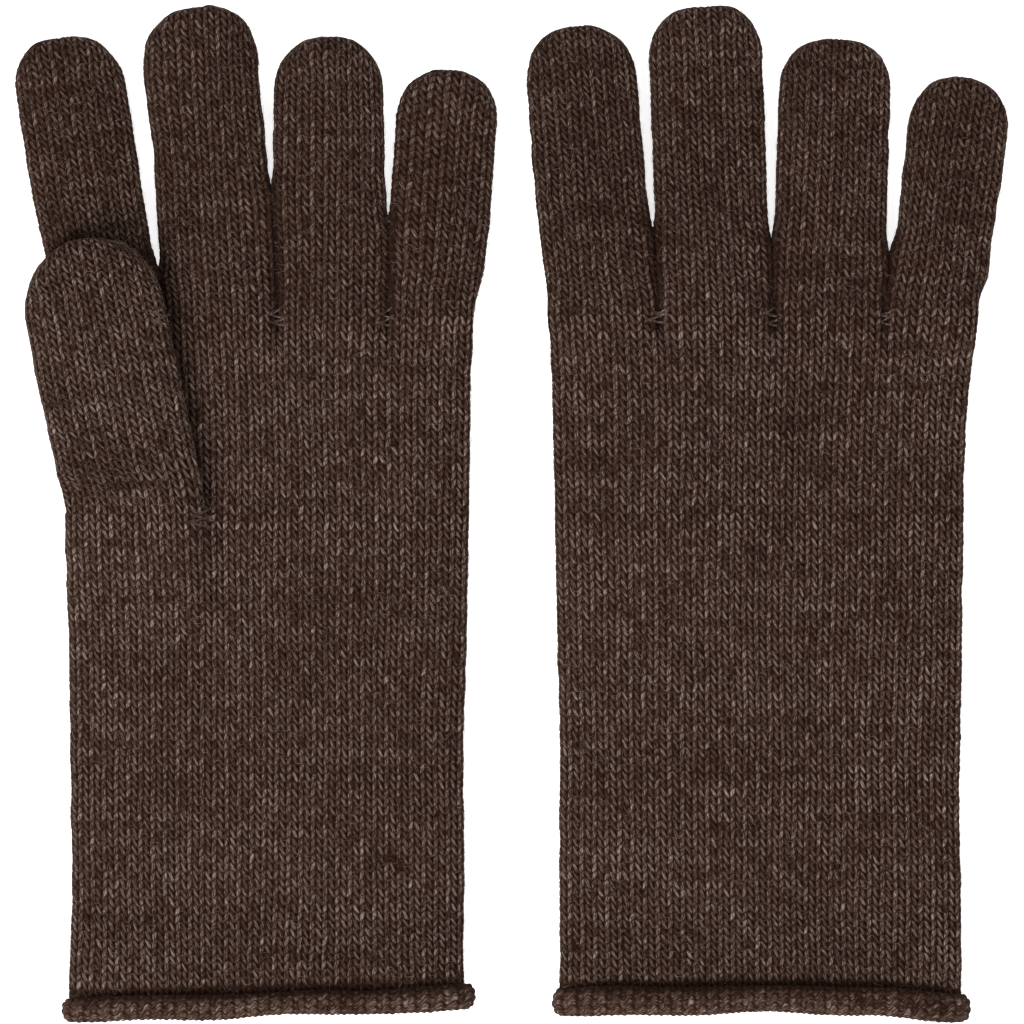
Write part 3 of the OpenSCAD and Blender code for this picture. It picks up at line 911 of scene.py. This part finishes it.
def hem_shell(glove, seed):
    """The roll round the mouth. Its outer face is the fabric's wrong side: each course is a thick yarn that
    bobs up and down once a wale, with dark pits between, partly real hollows and partly painted shade."""
    rng = np.random.default_rng(seed)
    points = node_points(f"{glove.side}_rolled_hem")
    x_middle, x_half = span(points, 0)
    y_low = points[:, 1].min()
    z_middle, z_half = span(points, 2)
    cad_radius = 3.3
    roll_radius = (cad_radius - 0.45) * ROLL_SIZE[glove.side]
    path_half_w = x_half - cad_radius
    path_half_h = z_half - 2 * cad_radius
    table = section_table(path_half_w, path_half_h, 2.6)
    courses = 9
    per_wale, per_course = 10, 7
    columns, rows = HAND_WALES * per_wale, courses * per_course
    u, b = np.meshgrid(np.arange(columns) / per_wale, np.arange(rows) / per_course)

    x_unit, z_unit = on_section(u, HAND_WALES, table)
    side_on = abs(x_unit) ** 6
    out_x = np.sign(x_unit) * side_on
    out_z = np.sign(z_unit) * np.sqrt(np.clip(1 - side_on**2, 0, 1))
    angle = 2 * np.pi * b / courses
    turn = 2 * np.pi * u / HAND_WALES
    swell = 1 + 0.06 * np.sin(3 * turn + seed) + 0.04 * np.sin(7 * turn)
    radius = roll_radius * swell
    reach = radius * (1 - np.cos(angle)) * mix(1, 0.6, side_on)
    sway = 0.25 * np.sin(5 * turn + 2 * seed) + glove.hem_shift(x_unit)
    y = y_low + cad_radius + sway + radius * np.sin(angle)
    x = x_middle + path_half_w * x_unit + reach * out_x
    base = np.stack([x, y, z_middle + path_half_h * z_unit + reach * out_z], -1)
    # The rows run the other way from a tube's, so the normals and the faces are turned over
    normals = -surface_normals(base, True)

    bob = np.cos(2 * np.pi * u)
    bob_size = 0.24
    in_course = b - bob_size * bob
    course_at = np.floor(in_course).astype(int) % courses
    stroke = np.floor(2 * u + 0.5).astype(int) % (2 * HAND_WALES)
    q = 2 * (np.mod(in_course, 1) - 0.5)
    body = np.sqrt(np.clip(1 - abs(q) ** 2.2, 0, 1)) * mix(0.45, 1, abs(bob))
    fullness = rng.normal(1, 0.1, (courses, 2 * HAND_WALES))[course_at, stroke]
    outer = base + normals * (0.6 * body * fullness)[..., None]
    outer[..., 2] = np.maximum(outer[..., 2], 0)

    shell = Shell()
    numbers = shell.add_points(outer)
    quads = grid_quads(numbers, True)
    shades = yarn_shades(rng, courses, 2 * HAND_WALES)[course_at, stroke]
    offset = rng.uniform(0, 400, (courses, 2 * HAND_WALES))[course_at, stroke]
    first = [values[..., None] for values in (q, u, np.mod(2 * u + 0.5, 1), shades, offset)]
    step_q = 2 * np.array([0, 1, 1, 0]) / per_course
    step_u = np.array([0, 0, 1, 1]) / per_wale
    climb = 2 * bob_size * 2 * np.pi * np.sin(2 * np.pi * first[1])
    leg_q = first[0] + step_q + step_u * climb
    strand = pairs(leg_q * 0.9, (first[2] + 2 * step_u) * WALE / 2 + first[4])
    # Painted shade: the Leg map darkens one slope of each bob and the hollows between courses
    falling = np.clip(np.sin(2 * np.pi * (first[1] + step_u)), 0, 1)
    leg = pairs(leg_q * 0.95, 0.5 + 0.5 * falling)
    # Painted shade: the roll's side towards the cuff, in the dip behind it, is painted darker
    y_ahead = corner_values(base[..., 1] - sway, True)
    tucked_shade = smooth((y_ahead - y_low - cad_radius - 0.4 * roll_radius) / (0.7 * roll_radius))
    shade = pairs(first[3] + 0 * leg_q, mix(1.0, 0.4, tucked_shade))
    bake = bake_map(rows, columns, 0.02, 0.98)
    shell.add_quads(*(part[:, :, ::-1] for part in (quads, strand, leg, shade, bake)))
    return shell


# ---------------------------------------------------------------- yarn at the joins and inside the tips


YARN_SIDES = 12
YARN_TWIST = 3.4


def add_yarn(shell, line, radius, low, high):
    """A two-ply yarn along a line of points, with its faces between two heights of the bake map."""
    line = np.asarray(line, float)
    ahead = np.gradient(line, axis=0)
    length = np.concatenate([[0], np.cumsum(np.linalg.norm(np.diff(line, axis=0), axis=1))])
    ahead /= np.linalg.norm(ahead, axis=1, keepdims=True)
    side = np.cross(ahead, [0, 0, 1])
    side /= np.linalg.norm(side, axis=1, keepdims=True)
    up = np.cross(side, ahead)
    turn = 2 * np.pi * np.arange(YARN_SIDES) / YARN_SIDES
    ply = turn[None, :] - 2 * np.pi * length[:, None] / YARN_TWIST
    reach = radius * (0.66 + 0.34 * abs(np.cos(ply)))
    reach = reach * np.sqrt(np.clip(1 - np.linspace(-1, 1, len(line)) ** 14, 0.05, 1))[:, None]
    out = side[:, None] * np.cos(turn)[None, :, None] + up[:, None] * np.sin(turn)[None, :, None]
    points = line[:, None] + out * reach[..., None]
    points[..., 2] = np.maximum(points[..., 2], 0)
    numbers = shell.add_points(points)
    # Painted shade darkens the groove between the two plies
    in_ply = corner_values(2 * abs(np.mod(ply / np.pi + 0.5, 1) - 0.5) * 0.9)
    along = corner_values(np.broadcast_to(length[:, None], ply.shape))
    around = corner_values(np.broadcast_to(radius * np.mod(turn, 2 * np.pi)[None, :], ply.shape))
    gap = (high - low) * 0.15
    bake = bake_map(len(line) - 1, YARN_SIDES, low, high - gap)
    shell.add_quads(grid_quads(numbers), pairs(around, along), pairs(in_ply, 0.5), [0.5, 1.0], bake)
    close_tip(shell, numbers[-1], high - gap, True, gap * 0.4)
    close_tip(shell, numbers[0], high - gap / 2, False, gap * 0.4)


def heights_from_above(pieces):
    """A function that gives the highest point of some finished pieces above a place on the table."""
    trees = []
    for piece in pieces:
        points = [vertex.co for vertex in piece.data.vertices]
        trees.append(BVHTree.FromPolygons(points, [face.vertices for face in piece.data.polygons]))

    def height(x, y):
        hits = [tree.ray_cast(Vector(at(x, y, 60)), Vector((0, 0, -1)))[0] for tree in trees]
        return max((hit.z / MM for hit in hits if hit), default=0.0)

    return height


def join_yarn(places, height, radius, seed):
    """Short crossing strands that darn the joins at some places, each an x, a y, a half width and a count."""
    rng = np.random.default_rng(seed)
    shell = Shell()
    strands = [(x, y, half, k, count) for x, y, half, count in places for k in range(count)]
    for number, (x, y, half, k, count) in enumerate(strands):
        slant = rng.uniform(0.25, 0.6) * (1 if k % 2 else -0.6)
        reach = half * rng.uniform(0.75, 1.1)
        middle = (x + rng.normal(0, 0.5), y + (k - (count - 1) / 2) * 1.0 + rng.normal(0, 0.2))
        t = np.linspace(-1, 1, 13)
        xs, ys = middle[0] + reach * t, middle[1] + reach * slant * t
        tops = np.array([height(px, py) for px, py in zip(xs, ys)])
        tops = np.convolve(np.pad(tops, 2, "edge"), np.ones(5) / 5, "valid")
        zs = tops + radius * (0.1 - 1.3 * abs(t) ** 3)
        line = np.stack([xs, ys, zs], -1)
        add_yarn(shell, line, radius, number / len(strands), (number + 1) / len(strands))
    return shell


# ---------------------------------------------------------------- the pieces


def at(x, y, z):
    """A point in metres."""
    return (x * MM, y * MM, z * MM)


# How far each fold's bend would spread along the fabric; the places found from them are not used
THUMB_FOLD = 12.0
KNUCKLE_FOLD = 9.0


def build_hand(glove, seed):
    """The cuff and the palm's two parts, each a tube of its own."""
    side, hand = glove.side, f"{glove.side}_hand"
    hem_v, wrist_v, thumb_v, crotch_v = glove.marks
    tuck = 2
    parts = {
        "cuff": (hem_v - tuck, wrist_v, glove.wrist - glove.hem_top + tuck * COURSE),
        "lower_palm": (wrist_v, thumb_v, glove.thumb_line - glove.wrist),
        "upper_palm": (thumb_v, crotch_v, glove.crotch - glove.thumb_line),
    }
    pieces = []
    for k, (part, (first, last, length)) in enumerate(parts.items()):
        place = glove.place_lower if part == "lower_palm" else glove.place
        shell = knit_shell(place, glove.openness, HAND_WALES, first, last, HAND_MESH, seed + k)
        piece = shell.make(f"{side}_{part}_knit", KNIT, "knit")
        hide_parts(f"{side}_{part}")
        if part == "cuff":
            at(0, glove.wrist, 0)
            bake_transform(piece)
        else:
            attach(piece, hand)
        pieces.append(piece)
    return pieces


def build_digits(glove, seed):
    """The four fingers and the thumb."""
    side, hand = glove.side, f"{glove.side}_hand"
    pieces = []
    for k, (finger, digit) in enumerate([*glove.digits.items(), ("thumb", glove.thumb)]):
        is_thumb = finger == "thumb"
        size = (digit.wales, 0, digit.courses, DIGIT_MESH)
        shell = knit_shell(digit.place, digit.openness, *size, seed + 10 + k, digit.phase, True)
        piece = shell.make(f"{side}_{finger}_knit", KNIT, "knit")
        if is_thumb:
            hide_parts(f"{side}_thumb")
            start, end = glove.thumb_line, glove.thumb_line + THUMB_FOLD
        else:
            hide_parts(f"{side}_{finger}_base", f"{side}_{finger}_end")
            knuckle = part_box(f"{side}_{finger}_end")[0].y / MM
            start, end = knuckle - KNUCKLE_FOLD, knuckle + KNUCKLE_FOLD
        at(0, start, 0)
        at(0, end, 0)
        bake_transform(piece)
        pieces.append(piece)
    return pieces


def build_hem(glove, seed):
    side = glove.side
    hem = hem_shell(glove, seed).make(f"{side}_rolled_hem_knit", HEM_KNIT, "welt_knit")
    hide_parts(f"{side}_rolled_hem")
    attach(hem, f"{side}_cuff_part")


def build_joins(glove, pieces, seed):
    """The darned strands at the crotches of the fingers and of the thumb."""
    side = glove.side
    row = list(glove.digits.values())
    height = heights_from_above(pieces)
    between = [(a.base[0] + a.half_w + b.base[0] - b.half_w) / 2 for a, b in zip(row, row[1:])]
    fingers = join_yarn([(x, glove.crotch + 0.2, 2.4, 4) for x in between], height, 0.36, seed)
    thumb_x = glove.thumb_x + glove.thumb_half
    # The right glove's thumb join is out of sight, between the hand and the thumb under it
    thumb_height = height if glove.palm_up else lambda x, y: glove.cover - 0.4
    thumb = join_yarn([(thumb_x - 1.4, glove.thumb_line - 0.6, 2.8, 4)], thumb_height, 0.4, seed + 1)
    for shell, node, name in ((fingers, "finger_webs", "finger_joins"), (thumb, "thumb_web", "thumb_join")):
        piece = shell.make(f"{side}_{name}", JOIN_KNIT, "join_knit")
        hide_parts(f"{side}_{node}")
        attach(piece, f"{side}_hand")


def build_tails(glove):
    """The yarn's end, left inside each closed tip."""
    for digit in (*FINGERS, "thumb"):
        node = f"{glove.side}_{digit}_tail"
        low, high = node_points(node).min(0), node_points(node).max(0)
        x, z = (low[0] + high[0]) / 2, (low[2] + high[2]) / 2
        # A tip that lies short of the CAD's keeps its tail inside
        back = min(LIES[glove.side][digit][0], 0) - 0.6
        shell = Shell()
        line = [(x, y + back, z) for y in np.linspace(low[1], high[1], 45)]
        add_yarn(shell, line, (high[0] - low[0]) / 2, 0.02, 0.98)
        piece = shell.make(f"{node}_yarn", YARN, "yarn")
        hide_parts(node)
        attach(piece, f"{glove.side}_{digit}_part")


def build_glove(side, seed):
    glove = Glove(side)
    pieces = build_hand(glove, seed) + build_digits(glove, seed)
    build_hem(glove, seed + 20)
    build_joins(glove, pieces, seed + 30)
    build_tails(glove)


build_glove("left", 100)
build_glove("right", 200)


# ---------------------------------------------------------------- stage, light and camera


def stage_floor():
    size = 3.0
    mesh = bpy.data.meshes.new("floor")
    corners = [(-size, -size, 0), (size, -size, 0), (size, size, 0), (-size, size, 0)]
    mesh.from_pydata([Vector(c) - Vector((0, 0, 0.0003)) for c in corners], [], [(0, 1, 2, 3)])
    floor = bpy.data.objects.new("floor", mesh)
    bpy.context.scene.collection.objects.link(floor)
    n = Nodes("paper")
    n.fill(n.shader, Base_Color=(0.93, 0.93, 0.93, 1), Roughness=0.9, Specular_IOR_Level=0.0)
    n.fill(n.shader, Emission_Color=(1, 1, 1, 1), Emission_Strength=0.8)
    mesh.materials.append(n.material)


def area_light(name, place, size, power):
    data = bpy.data.lights.new(name, "AREA")
    data.shape = "DISK"
    data.size = size
    data.energy = power
    light = bpy.data.objects.new(name, data)
    light.location = place
    light.rotation_euler = (-Vector(place)).to_track_quat("-Z", "Y").to_euler()
    bpy.context.scene.collection.objects.link(light)


def light_and_camera():
    world = bpy.data.worlds.new("studio")
    world.use_nodes = True
    world.node_tree.nodes["Background"].inputs[0].default_value = (1, 1, 1, 1)
    world.node_tree.nodes["Background"].inputs[1].default_value = 0.5
    bpy.context.scene.world = world
    area_light("key", (-0.6, -0.8, 1.0), 0.6, 17)
    area_light("fill", (0.8, 0.6, 1.2), 1.2, 5)
    bpy.context.scene.view_settings.view_transform = "Standard"

    # Straight above the table, far enough off that the view is nearly parallel
    lens, sensor, field = 180.0, 36.0, 256.0
    distance = field * lens / sensor + 6
    data = bpy.data.cameras.new("camera")
    data.lens = lens
    data.sensor_width = sensor
    data.clip_end = 20
    camera = bpy.data.objects.new("camera", data)
    camera.location = (0, 0, distance * MM)
    bpy.context.scene.collection.objects.link(camera)
    bpy.context.scene.camera = camera


stage_floor()
light_and_camera()
